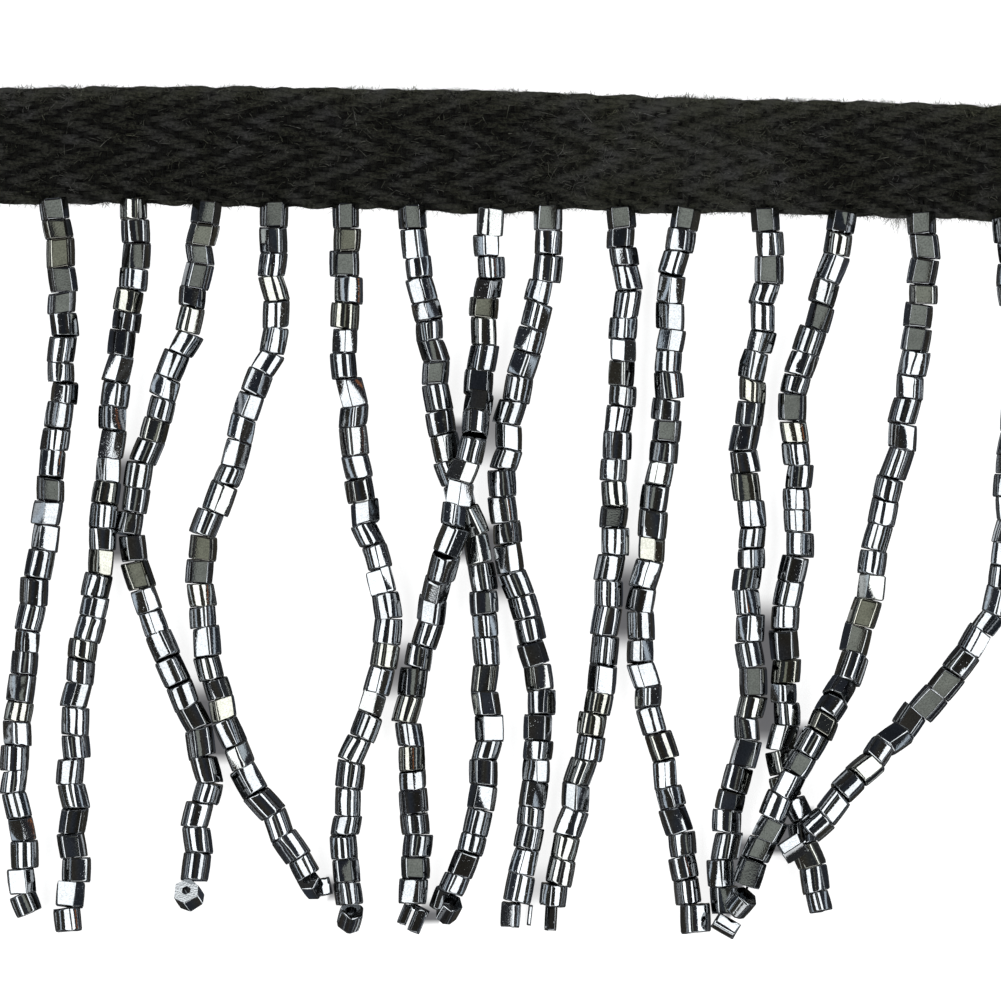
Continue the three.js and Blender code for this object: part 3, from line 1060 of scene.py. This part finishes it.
def make_floor(settings, bead_radius):
    """A wide pale floor just under the trim, which the mirrors of the beads don't show.

    It is a grid with one wide border, and a shadow is painted into its colour and glow where
    little of the sky reaches it.
    """
    columns, rows = (
        np.concatenate([[-FLOOR_REACH], np.linspace(low, high, steps), [FLOOR_REACH]])
        for low, high, steps in zip(DIMMED_LOW, DIMMED_HIGH, DIMMED_STEPS)
    )
    x, y = np.meshgrid(columns, rows, indexing="ij")
    grid = np.arange(x.size).reshape(x.shape)
    quads = np.stack([grid[:-1, :-1], grid[1:, :-1], grid[1:, 1:], grid[:-1, 1:]], axis=-1).reshape(-1, 4)
    vertices = np.stack([x, y, np.full_like(x, -0.02 * MM)], axis=-1).reshape(-1, 3)
    reached = smoothstep(open_sky(x, y, bead_radius), 0.09, 0.165)

    def paint(shade):
        sky = shade.node("ShaderNodeAttribute", {"attribute_name": "sky"}).out("Fac")
        # Painted shadow: colour and glow go towards the darkest floor colour where the strings shut out the
        # sky
        pale = shade.mix(sky, FLOOR_DARKEST, settings.floor)
        return {
            "Base Color": pale,
            "Roughness": 0.9,
            "Specular IOR Level": 0.2,
            "Emission Color": pale,
            "Emission Strength": settings.floor_glow,
        }

    material = surface("Pale floor", paint)
    floor = new_mesh("floor", vertices, quads, material, attributes={"sky": reached.reshape(-1)})
    floor.visible_glossy = False
    return floor


def light_studio(settings):
    """Soft light from the world itself: a long panel on each side, one at the front, and dim parts.

    Every panel is a range of angles from straight up, along the tape and across it. What is
    between them stays nearly black, so that the flats of the beads turn white, grey or black.
    """
    world = bpy.data.worlds.new("Studio")
    bpy.context.scene.world = world
    shade = Shade(world)
    towards_all = shade.node("ShaderNodeTexCoord").out("Generated")
    towards = shade.node("ShaderNodeSeparateXYZ", {}, {0: towards_all})
    x, y, z = (towards.out(axis) for axis in "XYZ")
    degrees = 180 / pi
    aside, along = x.angle(z) * degrees, y.angle(z) * degrees
    across, ahead = abs(aside), abs(along)
    patchy = (shade.noise(towards_all, 10.0, 0.0) * 8.0 - 5.0).held()
    low_patches = across.within(66, 150, 3.0) * patchy
    side_panels = across.within(27, 53.5, 0.6) * ahead.within(-1, 50, 3)
    front_panel = along.within(-72, -58, 2) * across.within(-1, 50, 4)
    above = across.within(-1, 3.4, 0.8) * ahead.within(-1, 4.0, 1.5)
    strips = across.within(70, 73.5, 0.8) * ahead.within(-1, 60, 4)
    lamp = aside.within(59.5, 61.5, 0.5) * along.within(9, 13, 1)
    panels = (
        (low_patches, settings.under, (0.92, 0.96, 1.0)),
        (side_panels, settings.panel, (0.97, 0.99, 1.0)),
        (front_panel, 0.6 * settings.panel, (1.0, 1.0, 1.0)),
        (above, settings.ceiling, (0.95, 1.0, 0.89)),
        (strips, settings.strip, (0.8, 0.9, 1.0)),
        (lamp, 0.9, (1.0, 0.38, 0.16)),
    )
    room = (x * 7.0).sine() * (y * 9.0).sine() * 0.5 + 0.5
    dim = room * settings.gloom + 0.042
    warm_side = (x * 11.0 + y * 7.0).sine() * 0.5 + 0.5
    channels = ((0.28, 0.84), (0.06, 0.97), (-0.38, 1.22))
    walls = [dim * (warm_side * gain + base) for gain, base in channels]
    light = shade.mix(1.0, (0, 0, 0), shade.node("ShaderNodeCombineXYZ", {}, dict(enumerate(walls))).out(0))
    for mask, strength, tint in panels:
        light = shade.mix(mask, light, tinted(tint, (strength,) * 3))
    seen = shade.node("ShaderNodeLightPath").out("Is Camera Ray")
    shown = shade.mix(seen, light, settings.backdrop)
    background = shade.node("ShaderNodeBackground", {}, {"Color": shown, "Strength": 1.0})
    shade.node("ShaderNodeOutputWorld", {}, {"Surface": background.out(0)})


def make_camera(lens=600.0, sensor=36.0, bead_level=1.0 * MM):
    """A long lens straight above the middle of the photograph, as far off as its width needs."""
    data = bpy.data.cameras.new("camera")
    data.lens = lens
    data.sensor_width = sensor
    data.clip_start = 0.01
    data.clip_end = 10.0
    camera = bpy.data.objects.new("camera", data)
    camera.location = (*PICTURE_MIDDLE, PICTURE_WIDTH * lens / sensor + bead_level)
    bpy.context.scene.collection.objects.link(camera)
    bpy.context.scene.camera = camera


# Settings, operators and panel


def colour_setting(name, description, default):
    """A colour that can be set."""
    return FloatVectorProperty(name=name, description=description, subtype="COLOR", default=default)


def size_setting(name, description, default):
    """A length that can be set, in metres."""
    return FloatProperty(
        name=name, description=description, unit="LENGTH", default=default, min=0.05 * MM, precision=5
    )


def light_setting(name, description, default):
    """A brightness that can be set, described by the place that it is the brightness of."""
    return FloatProperty(name=name, description="Brightness " + description, default=default, min=0)


class TapeSettings(bpy.types.PropertyGroup):
    """Colours and nap of the tape."""

    yarn: colour_setting("Yarn", "Colour of the dyed cotton", (0.0131, 0.0133, 0.0109))
    # The ground is darker than the yarn: painted shade in the gaps of the weave. The threads are dyed with
    # it too
    ground: colour_setting("Ground", "Colour between the yarns", (0.005, 0.005, 0.0045))
    fluff: colour_setting("Fluff", "Colour of the loose fibres", (0.038, 0.0385, 0.031))
    lint: colour_setting("Lint", "Colour of the caught lint", (0.1, 0.1, 0.09))
    nap: IntProperty(name="Nap", description="Number of loose fibres", default=10000, min=0)


class BeadSettings(bpy.types.PropertyGroup):
    """Sizes and finish of the beads."""

    radius: size_setting("Radius", "Radius of the rods that the beads are cut from", BEAD_RADIUS)
    length: size_setting("Length", "Usual length of a bead", BEAD_LENGTH)
    thread: size_setting("Thread", "Radius of the threads through the beads", THREAD_RADIUS)
    coating: colour_setting("Coating", "Colour of the mirror coating", (0.292, 0.303, 0.312))
    warm_coating: colour_setting("Warm coating", "Colour of the warmer beads", (0.308, 0.305, 0.262))


class StageSettings(bpy.types.PropertyGroup):
    """Floor and light."""

    floor: colour_setting("Floor", "Colour of the floor", (0.3, 0.3, 0.3))
    backdrop: colour_setting("Backdrop", "Colour beyond the floor", (0.8, 0.8, 0.8))
    floor_glow: light_setting("Floor glow", "of the floor itself, which softens shadows", 2.95)
    panel: light_setting("Panels", "of the panels at the sides", 4.1)
    ceiling: light_setting("Ceiling", "straight above", 0.62)
    strip: light_setting("Strips", "of the low strips at the sides", 1.65)
    under: light_setting("Under", "of the patches low down and below", 1.45)
    gloom: light_setting("Gloom", "between the panels", 0.05)


class TRIM_OT_tape(bpy.types.Operator):
    """Weave the tape: its ground, its yarns and its selvedge"""

    bl_idname = "trim.tape"
    bl_label = "Tape"

    def execute(self, context):
        settings = context.scene.trim_tape
        rng = np.random.default_rng(21)
        yarn = cotton("Black cotton yarn", settings.yarn, 4200.0)
        # The ground sheet shows in the gaps of the weave, darker than the yarns as painted shade
        pieces = [make_ground(cotton("Cotton ground", settings.ground, 3000.0, 0.0, 0.45))]
        ends = np.arange(WARP_ENDS)
        lots = (
            ("tape_warp", warp_yarns(ends[:-2], rng)),
            ("tape_selvedge", warp_yarns(ends[-2:], rng)),
            ("tape_weft", weft_yarns(rng)),
        )
        for name, (vertices, faces, dust) in lots:
            pieces.append(new_mesh(name, vertices, faces, yarn, attributes={"dust": dust}))
        for piece in pieces:
            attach(piece, "root")
            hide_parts("fringe" if piece.name == "tape_selvedge" else "tape")
        return {"FINISHED"}


class TRIM_OT_nap(bpy.types.Operator):
    """Raise the loose fibres of the tape"""

    bl_idname = "trim.nap"
    bl_label = "Nap"

    def execute(self, context):
        settings = context.scene.trim_tape
        fluff = cotton("Loose cotton fibres", settings.fluff, 900.0, -0.4, 0.5)
        pale = cotton("Pale lint", settings.lint, 900.0, -0.4, 0.5)
        rng = np.random.default_rng(33)
        for piece in (make_nap(settings, fluff, rng), make_lint(pale, rng)):
            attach(piece, "root")
        return {"FINISHED"}


class TRIM_OT_strings(bpy.types.Operator):
    """Thread the strings of faceted beads"""

    bl_idname = "trim.strings"
    bl_label = "Bead strings"

    def execute(self, context):
        settings = context.scene.trim_beads
        glass = mirror_glass(settings)
        for index, string in enumerate(STRINGS):
            piece = make_string(index, string, settings, glass)
            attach(piece, "root")
            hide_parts("fringe")
        return {"FINISHED"}


class TRIM_OT_threads(bpy.types.Operator):
    """Run a thread through every string"""

    bl_idname = "trim.threads"
    bl_label = "Threads"

    def execute(self, context):
        dyed = cotton("Black thread", context.scene.trim_tape.ground, 3000.0, -0.4, 0.5)
        threads = make_threads(context.scene.trim_beads, dyed)
        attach(threads, "root")
        return {"FINISHED"}


class TRIM_OT_stage(bpy.types.Operator):
    """Set up the floor, the light and the camera"""

    bl_idname = "trim.stage"
    bl_label = "Stage"

    def execute(self, context):
        settings = context.scene.trim_stage
        make_floor(settings, context.scene.trim_beads.radius)
        light_studio(settings)
        make_camera()
        context.scene.view_settings.view_transform = "Standard"
        return {"FINISHED"}


class TRIM_PT_panel(bpy.types.Panel):
    """Lists the trim's settings and the steps that build it"""

    bl_label = "Beaded fringe trim"
    bl_idname = "TRIM_PT_panel"
    bl_space_type = "VIEW_3D"
    bl_region_type = "UI"
    bl_category = "Trim"

    def draw(self, context):
        for group in GROUPS:
            settings = getattr(context.scene, group)
            for key in settings.bl_rna.properties.keys():
                if key not in ("name", "rna_type"):
                    self.layout.prop(settings, key)
        for operator in OPERATORS:
            self.layout.operator(operator.bl_idname)


GROUPS = {"trim_tape": TapeSettings, "trim_beads": BeadSettings, "trim_stage": StageSettings}
OPERATORS = (TRIM_OT_tape, TRIM_OT_nap, TRIM_OT_strings, TRIM_OT_threads, TRIM_OT_stage)
CLASSES = (*GROUPS.values(), *OPERATORS, TRIM_PT_panel)


def register():
    for cls in CLASSES:
        bpy.utils.register_class(cls)
    for name, group in GROUPS.items():
        setattr(bpy.types.Scene, name, PointerProperty(type=group))


def unregister():
    for name in GROUPS:
        delattr(bpy.types.Scene, name)
    for cls in reversed(CLASSES):
        bpy.utils.unregister_class(cls)


def main():
    register()
    bpy.ops.trim.tape()
    bpy.ops.trim.nap()
    bpy.ops.trim.strings()
    bpy.ops.trim.threads()
    bpy.ops.trim.stage()


if __name__ == "__main__":
    main()
